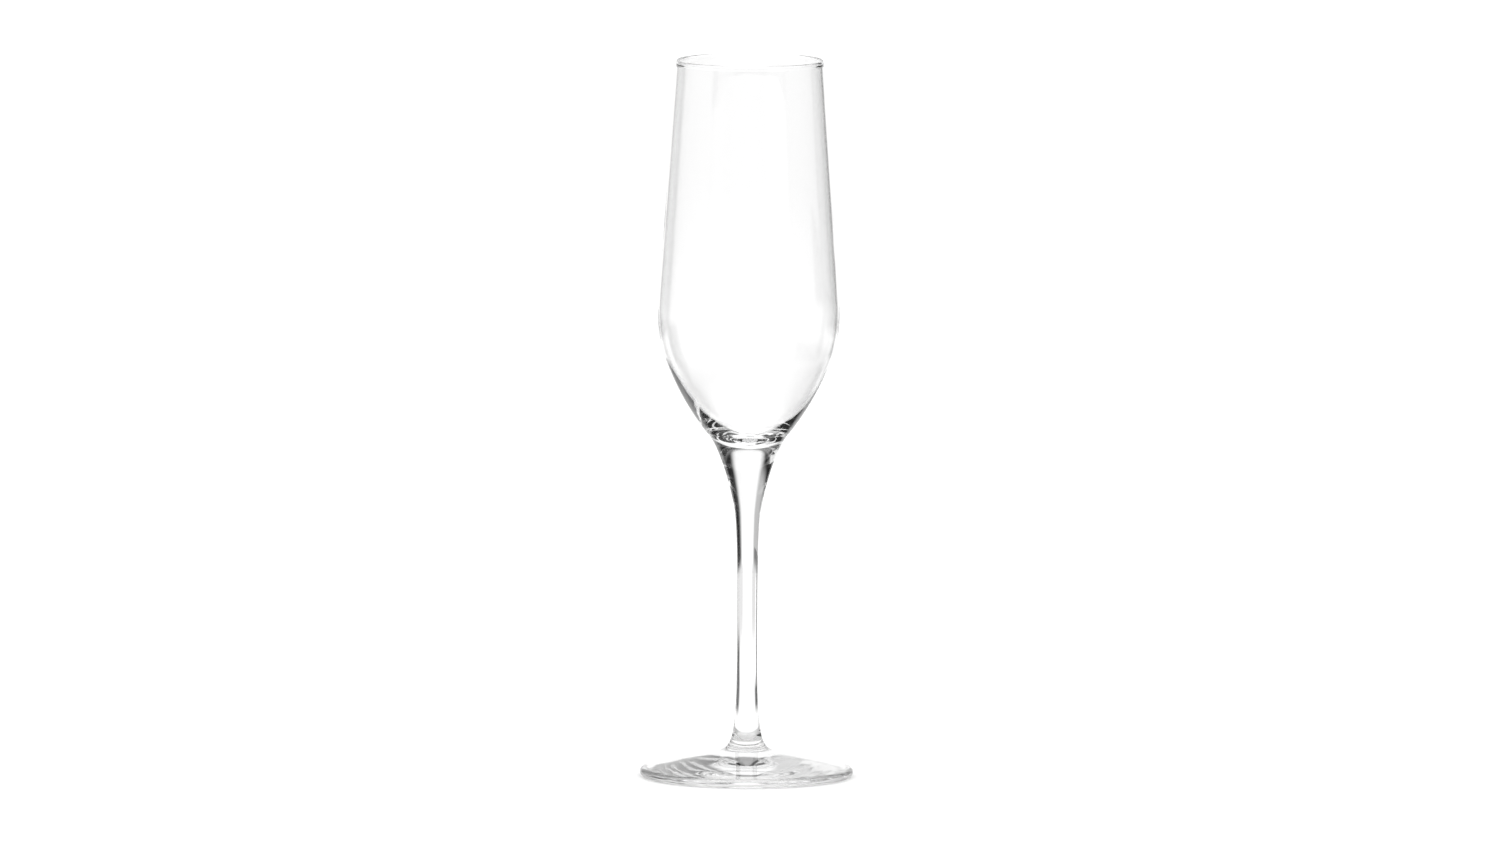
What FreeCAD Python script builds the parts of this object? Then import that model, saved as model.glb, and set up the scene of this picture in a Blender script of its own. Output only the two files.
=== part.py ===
import FreeCAD, Part
import math
import os

# A champagne flute: a bowl, a stem and a foot of clear glass, fused together at two seams.
# Millimetres, +Z up. The origin is the centre of the ring that the foot stands on.
#
# Every piece is an outline turned about the Z axis. A point of an outline is (radius, height),
# and the lean at a point is the angle in degrees between the outline and straight down. It is
# positive where the outline runs in towards the axis on its way down.

GLASS_HEIGHT = 225.0

# Bowl, outside
LIP_RADIUS = 0.6              # of the fire-polished bead round the rim
LIP_BULGE = 0.05              # how far the bead stands out from the wall
LIP_NECK = 222.9              # height where the bead runs out into the wall
LIP_REACH = (0.6, 0.6)
RIM_RADIUS = 22.99
WALL_FLARE = 0.071            # growth in radius per millimetre down the straight wall
BELLY_TOP = 149.8             # height where the straight wall ends
SHOULDER = (26.61, 133.3)
SHOULDER_LEAN = 18.1
BELLY_REACH = (7.55, 4.46)    # how far the curve holds its direction at its two ends
BASE_REACH = (13.3, 5.0)

# Bowl, inside
WALL_THICKNESS = 0.85
BELLY_WALL = 0.95
INNER_SHOULDER = (25.52, 133.3)
INNER_SHOULDER_LEAN = 16.3
INNER_BELLY_REACH = (5.5, 6.5)
CAVITY_BOTTOM = 105.1
CAVITY_REACH = (10.7, 10.7)

# Seam between bowl and stem: a shallow dish that bulges down into the stem
UPPER_SEAM = (12.92, 108.0)
UPPER_SEAM_BOWL_LEAN = 37.5
UPPER_SEAM_STEM_LEAN = 46.8
UPPER_SEAM_DEPTH = 5.8

# Stem
NECK = (4.1, 83.7)
NECK_LEAN = 9.6
FLARE_REACH = (5.0, 8.2)
NECK_REACH = (4.0, 10.0)
WAIST = (3.17, 56.9)
SHANK_REACH = (24.7, 7.4)

# Seam between stem and foot: a flat disc
LOWER_SEAM = (4.88, 12.1)
LOWER_SEAM_STEM_LEAN = -14.6
LOWER_SEAM_FOOT_LEAN = -22.0

# Foot
FOOT_RADIUS = 33.4
EDGE_RADIUS = 1.5
EDGE_LEAN = -80.8
FILLET_END = (8.15, 8.3)
FILLET_LEAN = -72.3
FILLET_REACH = (2.2, 1.6)
TOP_REACH = (5.0, 5.6)
RING_WIDTH = 1.0              # flat ring that touches the table
HOLLOW_HEIGHT = 1.8           # height of the shallow hollow under the foot
HOLLOW_REACH = (10.0, 11.5)
HOLLOW_RIM_SLOPE = 7.7        # degrees above level where the hollow meets the ring


def place(point):
    """A point of an outline in the XZ plane."""
    return FreeCAD.Vector(point[0], 0, point[1])


def along(point, lean, distance):
    """The point a distance down an outline that leans as stated."""
    angle = math.radians(lean)
    return (point[0] - distance * math.sin(angle), point[1] - distance * math.cos(angle))


def line(start, end):
    return Part.LineSegment(place(start), place(end)).toShape()


def curve(start, start_lean, end, end_lean, reach):
    """A smooth cubic from start down to end, holding each end's lean for about its reach."""
    poles = [start, along(start, start_lean, reach[0]), along(end, end_lean, -reach[1]), end]
    bezier = Part.BezierCurve()
    bezier.setPoles([place(pole) for pole in poles])
    return bezier.toShape()


def arc(centre, radius, start_angle, end_angle):
    """An arc about centre. Angles are in degrees from +X towards +Z."""
    points = []
    for angle in (start_angle, (start_angle + end_angle) / 2, end_angle):
        turn = math.radians(angle)
        points.append((centre[0] + radius * math.cos(turn), centre[1] + radius * math.sin(turn)))
    return Part.Arc(*[place(point) for point in points]).toShape()


def turn_outline(edges):
    """The solid that a closed outline sweeps in one turn about the Z axis."""
    face = Part.Face(Part.Wire(edges))
    return face.revolve(FreeCAD.Vector(0, 0, 0), FreeCAD.Vector(0, 0, 1), 360)


def wall_radius(height):
    """The outer radius of the bowl's straight wall."""
    return RIM_RADIUS + WALL_FLARE * (GLASS_HEIGHT - LIP_RADIUS - height)


def upper_seam_arc():
    """The dish where bowl and stem meet, from its edge to the axis."""
    radius, height = UPPER_SEAM
    dish_radius = (radius ** 2 + UPPER_SEAM_DEPTH ** 2) / (2 * UPPER_SEAM_DEPTH)
    centre = (0, height - UPPER_SEAM_DEPTH + dish_radius)
    edge_angle = -math.degrees(math.acos(radius / dish_radius))
    return arc(centre, dish_radius, edge_angle, -90)


def upper_seam_bottom():
    return (0, UPPER_SEAM[1] - UPPER_SEAM_DEPTH)


def bowl_inside():
    """The cavity's outline, from its bottom on the axis up to the lip."""
    wall_lean = -math.degrees(math.atan(WALL_FLARE))
    bottom = (0, CAVITY_BOTTOM)
    belly = (wall_radius(BELLY_TOP) - BELLY_WALL, BELLY_TOP)
    neck = (wall_radius(LIP_NECK) - WALL_THICKNESS, LIP_NECK)
    lip = (RIM_RADIUS + LIP_BULGE - 2 * LIP_RADIUS, GLASS_HEIGHT - LIP_RADIUS)
    return [
        curve(INNER_SHOULDER, INNER_SHOULDER_LEAN, bottom, 90, CAVITY_REACH),
        curve(belly, wall_lean, INNER_SHOULDER, INNER_SHOULDER_LEAN, INNER_BELLY_REACH),
        line(neck, belly),
        curve(lip, 0, neck, wall_lean, LIP_REACH),
    ]


def bowl_outside():
    """The bowl's outer outline, from the lip down to the seam with the stem."""
    wall_lean = -math.degrees(math.atan(WALL_FLARE))
    lip = (RIM_RADIUS + LIP_BULGE, GLASS_HEIGHT - LIP_RADIUS)
    neck = (wall_radius(LIP_NECK), LIP_NECK)
    belly = (wall_radius(BELLY_TOP), BELLY_TOP)
    return [
        arc((lip[0] - LIP_RADIUS, lip[1]), LIP_RADIUS, 180, 0),
        curve(lip, 0, neck, wall_lean, LIP_REACH),
        line(neck, belly),
        curve(belly, wall_lean, SHOULDER, SHOULDER_LEAN, BELLY_REACH),
        curve(SHOULDER, SHOULDER_LEAN, UPPER_SEAM, UPPER_SEAM_BOWL_LEAN, BASE_REACH),
    ]


def make_bowl():
    """Blown bowl: rounded lip, thin straight wall, belly and thick base."""
    core = line(upper_seam_bottom(), (0, CAVITY_BOTTOM))
    return turn_outline([core] + bowl_inside() + bowl_outside() + [upper_seam_arc()])


def make_stem():
    """Solid drawn stem, flared at the top and slightly at the bottom."""
    radius, foot_height = LOWER_SEAM
    return turn_outline([
        upper_seam_arc(),
        curve(UPPER_SEAM, UPPER_SEAM_STEM_LEAN, NECK, NECK_LEAN, FLARE_REACH),
        curve(NECK, NECK_LEAN, WAIST, 0, NECK_REACH),
        curve(WAIST, 0, LOWER_SEAM, LOWER_SEAM_STEM_LEAN, SHANK_REACH),
        line(LOWER_SEAM, (0, foot_height)),
        line((0, foot_height), upper_seam_bottom()),
    ])


def make_foot():
    """Pressed foot: fillet under the stem, sloping top, rounded edge and a hollow underneath."""
    edge_centre = (FOOT_RADIUS - EDGE_RADIUS, EDGE_RADIUS)
    edge_top = -EDGE_LEAN
    top_end = (
        edge_centre[0] + EDGE_RADIUS * math.cos(math.radians(edge_top)),
        edge_centre[1] + EDGE_RADIUS * math.sin(math.radians(edge_top)),
    )
    ring_outer = (edge_centre[0], 0)
    ring_inner = (edge_centre[0] - RING_WIDTH, 0)
    hollow_top = (0, HOLLOW_HEIGHT)
    return turn_outline([
        line(hollow_top, (0, LOWER_SEAM[1])),
        line((0, LOWER_SEAM[1]), LOWER_SEAM),
        curve(LOWER_SEAM, LOWER_SEAM_FOOT_LEAN, FILLET_END, FILLET_LEAN, FILLET_REACH),
        curve(FILLET_END, FILLET_LEAN, top_end, EDGE_LEAN, TOP_REACH),
        arc(edge_centre, EDGE_RADIUS, edge_top, -90),
        line(ring_outer, ring_inner),
        curve(hollow_top, -90, ring_inner, HOLLOW_RIM_SLOPE - 90, HOLLOW_REACH),
    ])


def main():
    os.makedirs("parts", exist_ok=True)
    parts = {"bowl": make_bowl(), "stem": make_stem(), "foot": make_foot()}
    for node, shape in parts.items():
        shape.exportStep(f"parts/{node}.step")
        print(node, "valid" if shape.isValid() else "NOT VALID", round(shape.Volume), "mm3")


main()
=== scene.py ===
import math
from functools import partial
import bpy
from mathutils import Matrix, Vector
from mathutils.geometry import interpolate_bezier


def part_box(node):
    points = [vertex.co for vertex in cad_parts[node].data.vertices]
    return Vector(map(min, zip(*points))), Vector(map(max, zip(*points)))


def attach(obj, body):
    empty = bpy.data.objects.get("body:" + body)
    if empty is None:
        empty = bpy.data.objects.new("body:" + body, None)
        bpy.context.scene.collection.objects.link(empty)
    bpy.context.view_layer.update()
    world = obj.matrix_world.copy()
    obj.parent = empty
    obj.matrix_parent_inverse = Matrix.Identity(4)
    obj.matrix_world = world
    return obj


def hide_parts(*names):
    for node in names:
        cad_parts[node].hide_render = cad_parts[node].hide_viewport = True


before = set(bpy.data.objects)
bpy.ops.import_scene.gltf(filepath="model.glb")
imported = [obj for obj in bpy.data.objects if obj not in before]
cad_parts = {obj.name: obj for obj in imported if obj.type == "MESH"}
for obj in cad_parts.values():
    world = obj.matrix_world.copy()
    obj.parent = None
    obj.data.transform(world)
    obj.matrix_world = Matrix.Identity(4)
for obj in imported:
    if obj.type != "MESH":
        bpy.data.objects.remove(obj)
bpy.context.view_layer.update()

# A champagne flute of clear glass: a blown bowl, a drawn stem and a pressed foot, fused at two
# seams. Every piece is an outline turned about the Z axis. Outlines are in millimetres as
# (radius, height), and the lean at a point is the angle in degrees between the outline and
# straight down, positive where the outline runs in towards the axis on its way down.

MM = 0.001
TURN_STEPS = 240              # faces round each piece
SHARP_ANGLE = 30              # degrees; an edge that turns more than this isn't smoothed
AXIS_WIDTH = 1e-6             # a point nearer to the Z axis than this lies on it

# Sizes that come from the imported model, in millimetres
GLASS_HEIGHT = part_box("bowl")[1].z / MM
UPPER_SEAM = (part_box("stem")[1].x / MM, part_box("stem")[1].z / MM)
UPPER_SEAM_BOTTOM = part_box("bowl")[0].z / MM
LOWER_SEAM = (4.88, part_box("stem")[0].z / MM)
FOOT_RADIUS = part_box("foot")[1].x / MM

# Bowl, outside
LIP_RADIUS = 0.6              # of the fire-polished bead round the rim
LIP_BULGE = 0.05              # how far the bead stands out from the wall
LIP_NECK = 222.9              # height where the bead runs out into the wall
LIP_REACH = (0.6, 0.6)
RIM_RADIUS = 22.99
WALL_FLARE = 0.071            # growth in radius per millimetre down the straight wall
BELLY_TOP = 149.8
SHOULDER = (26.61, 133.3)
SHOULDER_LEAN = 18.1
BELLY_REACH = (7.55, 4.46)    # how far a curve holds its direction at its two ends
BASE_REACH = (13.3, 5.0)

# Bowl, inside
WALL_THICKNESS = 0.85
BELLY_WALL = 0.95
INNER_SHOULDER = (25.52, 133.3)
INNER_SHOULDER_LEAN = 16.3
INNER_BELLY_REACH = (5.5, 6.5)
CAVITY_BOTTOM = 105.1
CAVITY_REACH = (10.7, 10.7)

# Seams and stem
UPPER_SEAM_BOWL_LEAN = 37.5
UPPER_SEAM_STEM_LEAN = 46.8
NECK = (4.1, 83.7)
NECK_LEAN = 9.6
FLARE_REACH = (5.0, 8.2)
NECK_REACH = (4.0, 10.0)
WAIST = (3.17, 56.9)
SHANK_REACH = (24.7, 7.4)
LOWER_SEAM_STEM_LEAN = -14.6
LOWER_SEAM_FOOT_LEAN = -22.0

# Foot
EDGE_RADIUS = 1.5
EDGE_LEAN = -80.8
FILLET_END = (8.15, 8.3)
FILLET_LEAN = -72.3
FILLET_REACH = (2.2, 1.6)
TOP_REACH = (5.0, 5.6)
RING_WIDTH = 1.0
HOLLOW_HEIGHT = 1.8
HOLLOW_REACH = (10.0, 11.5)
HOLLOW_RIM_SLOPE = 7.7

# Unevenness of the real glass, which is blown and pressed by hand. A waver is a height, a
# wavelength and a seed.
WALL_WAVER = (0.012, 30, 1.0)
WALL_WAVER_RUN = (8, 6)           # it grows over 8 mm above the seam and fades over 6 mm below the lip
CAVITY_SHIFT = (0.45, 0.1, 0)     # of the cavity's bottom
CAVITY_SHIFT_RUN = (6, 34)        # heights above that bottom between which the shift fades out
CAVITY_WAVER = (0.05, 9, 2.0)
CAVITY_WAVER_RUN = (2, 10)
FOOT_WAVER = (0.02, 11, 3.0)
FOOT_WAVER_START = (8, 12)        # radii between which it grows
FOOT_WAVER_END = 5                # distance from the foot's edge where it starts to fade
HOLLOW_WAVER = (0.035, 14, 4.0)
HOLLOW_WAVER_END = (9, 4)         # distances from the foot's edge between which it fades

# Finish: waves across a metre in X, Y and Z, and their depth in metres
IOR = 1.52
BOWL_GRAIN = (60, 60, 45)
BOWL_RELIEF = 0.00003
STEM_GRAIN = (420, 420, 14)       # draw lines along the stem
STEM_RELIEF = 0.000012
FOOT_GRAIN = (130, 130, 130)
FOOT_RELIEF = 0.00004
HAZE_GRAIN = 70                   # faint water marks left by drying
HAZE_ROUGHNESS = 0.02
HAZE_RANGE = (0.45, 0.8)          # part of the noise that shows as a mark

# Camera: a long lens a little above the glass. From here on, places and sizes are in metres.
CAMERA_DISTANCE = 8.0
CAMERA_HEIGHT = 0.9946
CAMERA_LENS = 618.65          # millimetres
CAMERA_SIDE = 0.00056         # to the right of the glass's axis
CAMERA_ROLL = 0.28            # degrees
AIM_HEIGHT = 0.11137

# Studio. Azimuth 0 is behind the glass and 90 is to its right.
LIGHT_BOUNCES = 32            # enough for light to leave the thick base again
SKY_STRENGTH = 1.27
FLOOR_SIZE = 24.0
FLOOR_WHITE = 0.95
# painted light: the lit floor's brightness, painted as a glow on the tent's floor ring that only the
# glass sees
PAINTED_FLOOR_LIGHT = 1.2
TENT_RADIUS = 0.9
TENT_EYE = 0.11               # height that the panels' elevations are measured from
TENT_CLOTH = 0.02             # brightness of the dark cloth
TENT_COLUMNS = 120
TENT_RINGS = 60
# rings of the painted floor: a glow with painted dark patches that only the glass sees
PAINTED_FLOOR_RINGS = 20
TENT_PANELS = (               # azimuths from and to, elevations from and to, blur, brightness
    (-16, 16, -30, -6, 20, 1.22),       # white wall behind, a little dimmer higher up
    (-18, 18, -6, 28, 16, 1.08),
    (-118, -62, -10, 14, 6, 0.94),      # softbox to the left
    (-50, -18, -12, 12, 12, 0.6),       # wall beside it
    (130, 150, -10, 24, 8, 0.8),        # white card in front, to the right
    (-130, 60, 38, 56, 12, 0.3),        # ceiling
    (-150, 20, 58, 90, 14, 0.35),
)
PAINTED_FLOOR_PATCHES = (                      # painted dark patches on the painted floor, seen only in the glass: azimuths from and to, blur, radii from and to, blur, brightness
    (46, 98, 20, 0.12, 0.9, 0.05, 0.04),        # painted dark patch to the right
    (34, 60, 16, 0.76, 0.9, 0.2, 0.04),         # its far edge, next to the wall behind
    (22, 60, 8, 0.42, 0.62, 0.12, 0.8),         # shade behind on the right
    (80, 112, 12, 0.11, 0.9, 0.05, 0.04),       # painted dark patch in front on the right
    (-118, -70, 8, 0.2, 0.9, 0.06, 0.9),        # painted, slightly darker patch below the softbox
    (-74, -56, 8, 0.16, 0.9, 0.05, 0.1),        # painted dark strip beside it
    (-58, -32, 14, 0.76, 0.9, 0.2, 0.25),       # far edge, next to the wall behind
    (-36, -22, 8, 0.42, 0.62, 0.12, 0.8),       # shade behind on the left
    (45, 100, 20, 0.11, 0.2, 0.05, 0.06),       # painted dark band near the glass, right
    (-140, -44, 14, 0.11, 0.17, 0.04, 0.06),    # painted dark band near the glass, left
)
PAINTED_FLOOR_START = 0.07              # radius of the hole in the painted floor and its painted dark patches, where the glass stands on the real floor
# height of the painted floor and its painted dark patches above the real floor
PAINTED_FLOOR_HEIGHT = 0.0005


# ---------------------------------------------------------------- outlines

def along(point, lean, distance):
    """The point a distance down an outline that leans as stated."""
    angle = math.radians(lean)
    return (point[0] - distance * math.sin(angle), point[1] - distance * math.cos(angle))


def line(start, end, steps):
    return [tuple(a + (b - a) * i / steps for a, b in zip(start, end)) for i in range(steps + 1)]


def curve(start, start_lean, end, end_lean, reach, steps):
    """A smooth cubic from start down to end, holding each end's lean for about its reach."""
    handles = [along(start, start_lean, reach[0]), along(end, end_lean, -reach[1])]
    poles = [Vector((*pole, 0)) for pole in (start, *handles, end)]
    return [(p.x, p.y) for p in interpolate_bezier(*poles, steps + 1)]


def arc(centre, radius, start_angle, end_angle, steps):
    """An arc about centre. Angles are in degrees from +X towards +Z."""
    points = []
    for i in range(steps + 1):
        turn = math.radians(start_angle + (end_angle - start_angle) * i / steps)
        points.append((centre[0] + radius * math.cos(turn), centre[1] + radius * math.sin(turn)))
    return points


def joined(*stretches):
    """One list of points from stretches that follow each other end to end."""
    points = list(stretches[0])
    for stretch in stretches[1:]:
        points += stretch[1:]
    return points


def wall_radius(height):
    """The outer radius of the bowl's straight wall."""
    return RIM_RADIUS + WALL_FLARE * (GLASS_HEIGHT - LIP_RADIUS - height)


WALL_LEAN = -math.degrees(math.atan(WALL_FLARE))


def upper_seam_dish():
    """The dish where bowl and stem are fused, from its edge to the axis."""
    radius, height = UPPER_SEAM
    depth = height - UPPER_SEAM_BOTTOM
    dish_radius = (radius ** 2 + depth ** 2) / (2 * depth)
    edge_angle = -math.degrees(math.acos(radius / dish_radius))
    points = arc((0, UPPER_SEAM_BOTTOM + dish_radius), dish_radius, edge_angle, -90, 12)
    return [UPPER_SEAM] + points[1:-1] + [(0, UPPER_SEAM_BOTTOM)]


def lower_seam_disc():
    """The disc where stem and foot are fused, from its edge to the axis."""
    return line(LOWER_SEAM, (0, LOWER_SEAM[1]), 4)


def bowl_skin():
    """The cavity's outline from its bottom up to the lip, and the outer one from there down to the
    upper seam."""
    belly = (wall_radius(BELLY_TOP), BELLY_TOP)
    inner_belly = (belly[0] - BELLY_WALL, BELLY_TOP)
    neck = (wall_radius(LIP_NECK), LIP_NECK)
    inner_neck = (neck[0] - WALL_THICKNESS, LIP_NECK)
    lip = (RIM_RADIUS + LIP_BULGE, GLASS_HEIGHT - LIP_RADIUS)
    inner_lip = (lip[0] - 2 * LIP_RADIUS, lip[1])
    inside = joined(
        curve(inner_lip, 0, inner_neck, WALL_LEAN, LIP_REACH, 14),
        line(inner_neck, inner_belly, 44),
        curve(inner_belly, WALL_LEAN, INNER_SHOULDER, INNER_SHOULDER_LEAN, INNER_BELLY_REACH, 40),
        curve(INNER_SHOULDER, INNER_SHOULDER_LEAN, (0, CAVITY_BOTTOM), 90, CAVITY_REACH, 80),
    )
    outside = joined(
        arc((lip[0] - LIP_RADIUS, lip[1]), LIP_RADIUS, 180, 0, 24),
        curve(lip, 0, neck, WALL_LEAN, LIP_REACH, 14),
        line(neck, belly, 44),
        curve(belly, WALL_LEAN, SHOULDER, SHOULDER_LEAN, BELLY_REACH, 40),
        curve(SHOULDER, SHOULDER_LEAN, UPPER_SEAM, UPPER_SEAM_BOWL_LEAN, BASE_REACH, 60),
    )
    return inside[::-1], outside


def stem_skin():
    """The stem's polished surface, from the upper seam down to the lower seam."""
    return joined(
        curve(UPPER_SEAM, UPPER_SEAM_STEM_LEAN, NECK, NECK_LEAN, FLARE_REACH, 70),
        curve(NECK, NECK_LEAN, WAIST, 0, NECK_REACH, 40),
        curve(WAIST, 0, LOWER_SEAM, LOWER_SEAM_STEM_LEAN, SHANK_REACH, 60),
    )


def foot_skin():
    """The foot's outline from the lower seam over the edge to the ring, and the hollow's from there
    to its middle."""
    edge_centre = (FOOT_RADIUS - EDGE_RADIUS, EDGE_RADIUS)
    edge = arc(edge_centre, EDGE_RADIUS, -EDGE_LEAN, -90, 40)
    ring_inner = (edge_centre[0] - RING_WIDTH, 0)
    hollow = curve((0, HOLLOW_HEIGHT), -90, ring_inner, HOLLOW_RIM_SLOPE - 90, HOLLOW_REACH, 50)
    top = joined(
        curve(LOWER_SEAM, LOWER_SEAM_FOOT_LEAN, FILLET_END, FILLET_LEAN, FILLET_REACH, 30),
        curve(FILLET_END, FILLET_LEAN, edge[0], EDGE_LEAN, TOP_REACH, 80),
        edge,
        line((edge_centre[0], 0), ring_inner, 4),
    )
    return top, hollow[::-1]


# ---------------------------------------------------------------- unevenness of the real glass

def rise(value, low, high):
    """0 below low and 1 above high, with a smooth rise between."""
    share = min(max((value - low) / (high - low), 0), 1)
    return share * share * (3 - 2 * share)


def waver(place, height, wavelength, seed):
    """A smooth pattern between -height and height, made of five waves of different directions and
    lengths, so that it has no grain."""
    total = 0
    for i in range(5):
        turn = seed + 2.4 * i
        pitch = wavelength * (0.75 + 0.14 * i)
        way = Vector((math.cos(turn), math.sin(turn), math.sin(1.7 * turn)))
        total += math.sin(2 * math.pi * place.dot(way) / pitch + 1.3 * i * seed)
    return height * total / 5


def still(place):
    """The warp of a surface that stays as it is."""
    return place


def wall_warp(place):
    """The wall wavers in and out, away from the seam and the lip."""
    radius = math.hypot(place.x, place.y)
    if radius < AXIS_WIDTH:
        return place
    grow, fade_out = WALL_WAVER_RUN
    share = rise(place.z, UPPER_SEAM[1], UPPER_SEAM[1] + grow)
    share *= 1 - rise(place.z, LIP_NECK - fade_out, LIP_NECK)
    outwards = Vector((place.x, place.y, 0)) / radius
    return place + outwards * (share * waver(place, *WALL_WAVER))


def cavity_warp(place):
    """The cavity's bottom lies a little off centre and wavers up and down."""
    start, end = CAVITY_SHIFT_RUN
    moved = place + Vector(CAVITY_SHIFT) * (1 - rise(place.z, CAVITY_BOTTOM + start, CAVITY_BOTTOM + end))
    start, end = CAVITY_WAVER_RUN
    share = 1 - rise(place.z, CAVITY_BOTTOM + start, CAVITY_BOTTOM + end)
    moved.z += share * waver(place, *CAVITY_WAVER)
    return wall_warp(moved)


def foot_top_warp(place):
    """The foot's top wavers up and down between the fillet and the rounded edge."""
    radius = math.hypot(place.x, place.y)
    share = rise(radius, *FOOT_WAVER_START)
    share *= 1 - rise(radius, FOOT_RADIUS - FOOT_WAVER_END, FOOT_RADIUS - EDGE_RADIUS)
    return place + Vector((0, 0, share * waver(place, *FOOT_WAVER)))


def hollow_warp(place):
    """The hollow wavers up and down, away from the ring that the glass stands on."""
    radius = math.hypot(place.x, place.y)
    start, end = HOLLOW_WAVER_END
    share = 1 - rise(radius, FOOT_RADIUS - start, FOOT_RADIUS - end)
    return place + Vector((0, 0, share * waver(place, *HOLLOW_WAVER)))


# ---------------------------------------------------------------- meshes

def turned(name, stretches):
    """A closed mesh turned about the Z axis. stretches is a list of (points, material index, warp)
    that follow each other from the axis round to the axis again, with the glass on their right.
    A warp moves a point a little, as the real glass isn't perfectly round."""
    verts, faces, face_materials, rings = [], [], [], []

    def ring(point, warp):
        radius, height = point
        first = len(verts)
        count = 1 if radius < AXIS_WIDTH else TURN_STEPS
        for i in range(count):
            turn = 2 * math.pi * i / TURN_STEPS
            place = warp(Vector((radius * math.cos(turn), radius * math.sin(turn), height)))
            verts.append(place * MM)
        return [first + i % count for i in range(TURN_STEPS)]

    for points, material, warp in stretches:
        for point in points[1:] if rings else points:
            rings.append(ring(point, warp))
            if len(rings) == 1:
                continue
            upper, lower = rings[-2], rings[-1]
            for i in range(TURN_STEPS):
                j = (i + 1) % TURN_STEPS
                corners = [upper[i], lower[i], lower[j], upper[j]]
                faces.append(list(dict.fromkeys(corners)))
                face_materials.append(material)
    mesh = bpy.data.meshes.new(name)
    mesh.from_pydata(verts, [], faces)
    mesh.polygons.foreach_set("material_index", face_materials)
    mesh.shade_smooth()
    mesh.set_sharp_from_angle(angle=math.radians(SHARP_ANGLE))
    mesh.validate()
    piece = bpy.data.objects.new(name, mesh)
    bpy.context.scene.collection.objects.link(piece)
    return piece


# ---------------------------------------------------------------- materials

def node_material(name):
    """An empty node material with its output node."""
    material = bpy.data.materials.new(name)
    material.use_nodes = True
    tree = material.node_tree
    tree.nodes.clear()
    return material, tree, tree.nodes.new("ShaderNodeOutputMaterial")


def clear_glass(name, grain, relief):
    """Clear polished glass. grain is how many waves of its uneven surface lie across a metre in
    X, Y and Z, and relief is how deep they are in metres."""
    material, tree, output = node_material(name)
    shader = tree.nodes.new("ShaderNodeBsdfPrincipled")
    shader.inputs["Base Color"].default_value = (1, 1, 1, 1)
    shader.inputs["Transmission Weight"].default_value = 1
    shader.inputs["IOR"].default_value = IOR
    tree.links.new(shader.outputs[0], output.inputs["Surface"])

    place = tree.nodes.new("ShaderNodeTexCoord")
    stretch = tree.nodes.new("ShaderNodeMapping")
    stretch.inputs["Scale"].default_value = grain
    tree.links.new(place.outputs["Object"], stretch.inputs["Vector"])
    ripples = tree.nodes.new("ShaderNodeTexNoise")
    ripples.inputs["Scale"].default_value = 1
    ripples.inputs["Detail"].default_value = 1.5
    ripples.inputs["Distortion"].default_value = 0.6
    tree.links.new(stretch.outputs["Vector"], ripples.inputs["Vector"])
    bump = tree.nodes.new("ShaderNodeBump")
    bump.inputs["Distance"].default_value = relief
    tree.links.new(ripples.outputs["Fac"], bump.inputs["Height"])
    tree.links.new(bump.outputs["Normal"], shader.inputs["Normal"])

    haze = tree.nodes.new("ShaderNodeTexNoise")
    haze.inputs["Scale"].default_value = HAZE_GRAIN
    haze.inputs["Detail"].default_value = 3
    tree.links.new(place.outputs["Object"], haze.inputs["Vector"])
    dulling = tree.nodes.new("ShaderNodeMapRange")
    dulling.inputs["From Min"].default_value = HAZE_RANGE[0]
    dulling.inputs["From Max"].default_value = HAZE_RANGE[1]
    dulling.inputs["To Max"].default_value = HAZE_ROUGHNESS
    tree.links.new(haze.outputs["Fac"], dulling.inputs["Value"])
    tree.links.new(dulling.outputs["Result"], shader.inputs["Roughness"])
    return material


def fused_seam():
    """Inside a fused seam the glass is continuous, so light crosses it unbent."""
    material, tree, output = node_material("fused_seam")
    shader = tree.nodes.new("ShaderNodeBsdfTransparent")
    tree.links.new(shader.outputs[0], output.inputs["Surface"])
    return material


# ---------------------------------------------------------------- the glass

def add_piece(name, stretches, materials):
    """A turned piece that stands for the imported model's node of the same name."""
    piece = turned(name, stretches)
    for material in materials:
        piece.data.materials.append(material)
    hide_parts(name.removeprefix("glass_"))
    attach(piece, "root")


def make_glass():
    """The three pieces. Material 0 is a piece's polished surface, and 1 its fused seams."""
    seam = fused_seam()
    dish, disc = upper_seam_dish(), lower_seam_disc()
    cavity, outside = bowl_skin()
    bowl = [(cavity, 0, cavity_warp), (outside, 0, wall_warp), (dish, 1, still)]
    stem = [(dish[::-1], 1, still), (stem_skin(), 0, still), (disc, 1, still)]
    top, hollow = foot_skin()
    foot = [(disc[::-1], 1, still), (top, 0, foot_top_warp), (hollow, 0, hollow_warp)]
    bowl_glass = clear_glass("bowl_glass", BOWL_GRAIN, BOWL_RELIEF)
    stem_glass = clear_glass("stem_glass", STEM_GRAIN, STEM_RELIEF)
    foot_glass = clear_glass("foot_glass", FOOT_GRAIN, FOOT_RELIEF)
    add_piece("glass_bowl", bowl, [bowl_glass, seam])
    add_piece("glass_stem", stem, [stem_glass, seam])
    add_piece("glass_foot", foot, [foot_glass, seam])


# ---------------------------------------------------------------- studio

def make_floor():
    bpy.ops.mesh.primitive_plane_add(size=FLOOR_SIZE)
    floor = bpy.context.object
    floor.name = "floor"
    material, tree, output = node_material("floor_white")
    shader = tree.nodes.new("ShaderNodeBsdfDiffuse")
    shader.inputs["Color"].default_value = (FLOOR_WHITE, FLOOR_WHITE, FLOOR_WHITE, 1)
    tree.links.new(shader.outputs[0], output.inputs["Surface"])
    floor.data.materials.append(material)


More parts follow.
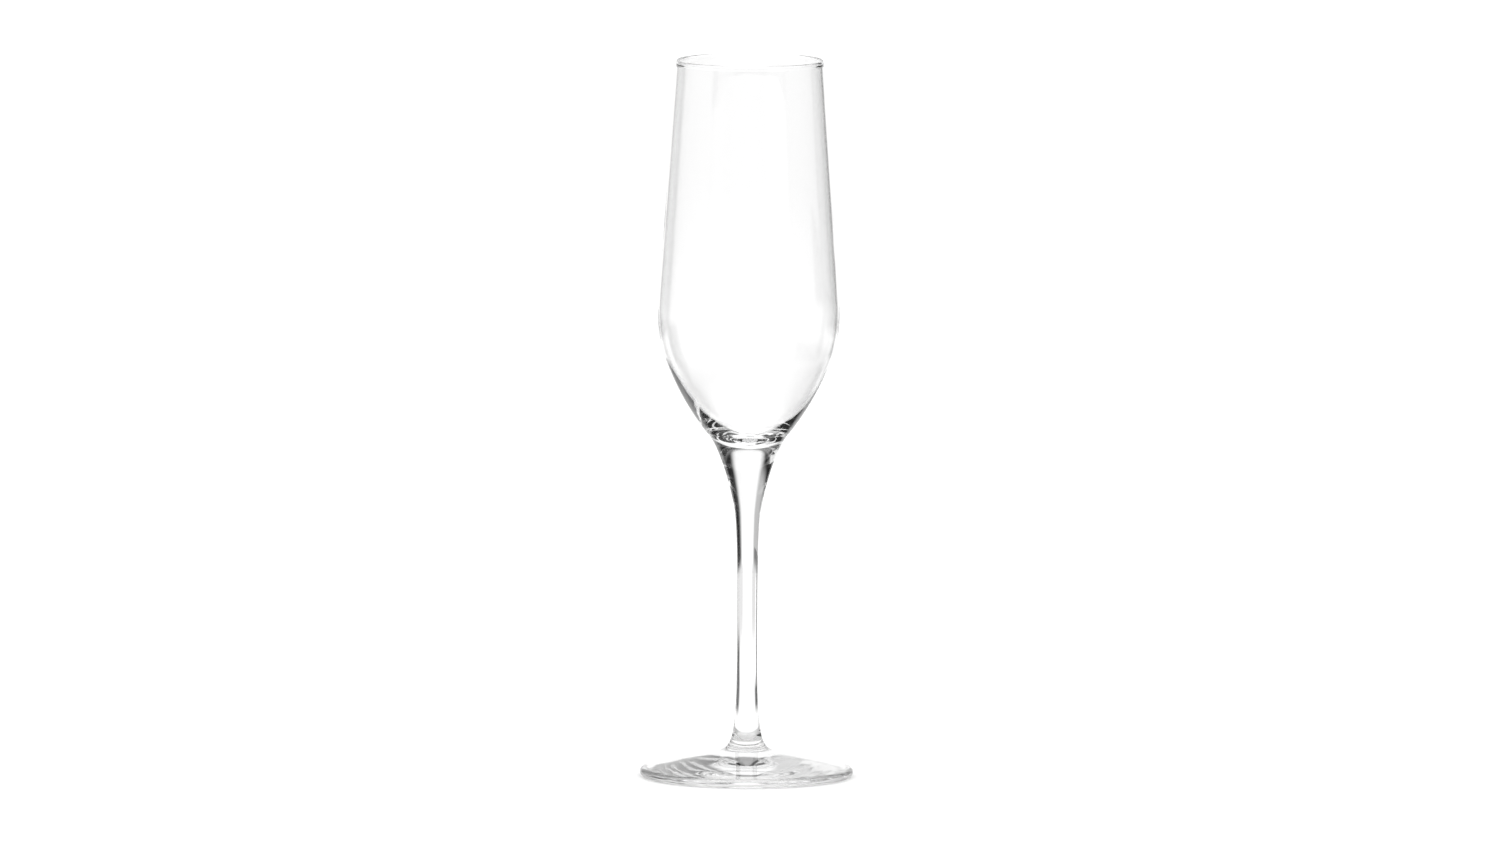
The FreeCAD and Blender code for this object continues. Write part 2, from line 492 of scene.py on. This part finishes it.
def make_world():
    world = bpy.data.worlds.new("studio")
    world.use_nodes = True
    background = world.node_tree.nodes["Background"]
    background.inputs["Color"].default_value = (1, 1, 1, 1)
    background.inputs["Strength"].default_value = SKY_STRENGTH
    bpy.context.scene.world = world


def fade(value, low, high, blur):
    """1 between low and high, falling smoothly to 0 over a distance of blur outside them."""
    return rise(value, low - blur, low) * (1 - rise(value, high, high + blur))


def sector(azimuth, low, high, blur):
    """1 between two azimuths, falling smoothly to 0 over blur outside them."""
    half = (high - low) / 2
    return fade((azimuth - low - half + 180) % 360 - 180, -half, half, blur)


def tent_glow(azimuth, elevation):
    """The brightest of the tent's dark cloth and its lit panels in a direction from the glass."""
    glow = TENT_CLOTH
    for low, high, bottom, top, blur, panel in TENT_PANELS:
        glow = max(glow, panel * sector(azimuth, low, high, blur) * fade(elevation, bottom, top, blur))
    return glow


def painted_floor_glow(azimuth, radius):
    """The lit floor painted as a glow, with painted dark patches at both sides of the glass."""
    glow = PAINTED_FLOOR_LIGHT
    for low, high, blur, start, end, edge, painted_patch in PAINTED_FLOOR_PATCHES:
        glow += (painted_patch - glow) * sector(azimuth, low, high, blur) * fade(radius, start, end, edge)
    return glow


def tent_rings():
    """Rings from the painted floor's inner edge out to the tent and up to its top, each as a radius,
    a height and a function that gives its glow at an azimuth."""
    rings = []
    for step in range(PAINTED_FLOOR_RINGS + 1):
        radius = PAINTED_FLOOR_START + (TENT_RADIUS - PAINTED_FLOOR_START) * (step / PAINTED_FLOOR_RINGS) ** 1.6
        # These rings carry the painted floor light and its painted dark patches.
        rings.append((radius, PAINTED_FLOOR_HEIGHT, partial(painted_floor_glow, radius=radius)))
    for step in range(TENT_RINGS + 1):
        climb = math.radians(90) * step / TENT_RINGS
        across, up = TENT_RADIUS * math.cos(climb), PAINTED_FLOOR_HEIGHT + TENT_RADIUS * math.sin(climb)
        elevation = math.degrees(math.atan2(up - TENT_EYE, across))
        rings.append((across, up, partial(tent_glow, elevation=elevation)))
    return rings


def make_tent():
    """A dark round tent with lit panels, which the glass takes its edges and highlights from. Only
    rays that meet the glass see it. It doesn't darken the floor under the glass, as the floor
    sees open sky in its place."""
    verts, faces, glow = [], [], []
    for radius, height, glow_at in tent_rings():
        for column in range(TENT_COLUMNS):
            azimuth = 360 * column / TENT_COLUMNS
            turn = math.radians(azimuth)
            verts.append((radius * math.sin(turn), radius * math.cos(turn), height))
            glow += [glow_at(azimuth)] * 3 + [1]
    for low in range(0, len(verts) - TENT_COLUMNS, TENT_COLUMNS):
        high = low + TENT_COLUMNS
        for column in range(TENT_COLUMNS):
            after = (column + 1) % TENT_COLUMNS
            faces.append((low + column, high + column, high + after, low + after))
    mesh = bpy.data.meshes.new("tent")
    mesh.from_pydata(verts, [], faces)
    mesh.color_attributes.new("glow", "FLOAT_COLOR", "POINT").data.foreach_set("color", glow)
    mesh.materials.append(tent_material())
    tent = bpy.data.objects.new("tent", mesh)
    bpy.context.scene.collection.objects.link(tent)
    tent.visible_camera = False
    tent.visible_diffuse = False
    tent.visible_shadow = False


def tent_material():
    """The glow stored in the tent's mesh, and open sky after light has bounced off the floor."""
    material, tree, output = node_material("tent")
    shader = tree.nodes.new("ShaderNodeEmission")
    colour = tree.nodes.new("ShaderNodeVertexColor")
    colour.layer_name = "glow"
    tree.links.new(colour.outputs["Color"], shader.inputs["Color"])
    open_sky = tree.nodes.new("ShaderNodeEmission")
    open_sky.inputs["Strength"].default_value = SKY_STRENGTH
    path = tree.nodes.new("ShaderNodeLightPath")
    mix = tree.nodes.new("ShaderNodeMixShader")
    tree.links.new(path.outputs["Diffuse Depth"], mix.inputs["Fac"])
    tree.links.new(shader.outputs[0], mix.inputs[1])
    tree.links.new(open_sky.outputs[0], mix.inputs[2])
    tree.links.new(mix.outputs[0], output.inputs["Surface"])
    return material


def make_camera():
    data = bpy.data.cameras.new("camera")
    data.lens = CAMERA_LENS
    data.sensor_width = 36.0
    data.clip_start = 0.1
    data.clip_end = 100
    camera = bpy.data.objects.new("camera", data)
    bpy.context.scene.collection.objects.link(camera)
    camera.location = (CAMERA_SIDE, -CAMERA_DISTANCE, CAMERA_HEIGHT)
    aim = Vector((CAMERA_SIDE, 0, AIM_HEIGHT)) - camera.location
    turn = aim.to_track_quat("-Z", "Y").to_matrix().to_4x4()
    camera.rotation_euler = turn.to_euler()
    camera.rotation_euler.rotate_axis("Z", math.radians(CAMERA_ROLL))
    bpy.context.scene.camera = camera


def set_up_render():
    scene = bpy.context.scene
    scene.view_settings.view_transform = "Standard"
    scene.cycles.max_bounces = LIGHT_BOUNCES
    scene.cycles.transmission_bounces = LIGHT_BOUNCES
    scene.cycles.transparent_max_bounces = LIGHT_BOUNCES
    scene.cycles.glossy_bounces = 16
    scene.cycles.diffuse_bounces = 3


make_camera()
make_glass()
make_floor()
make_tent()
make_world()
set_up_render()
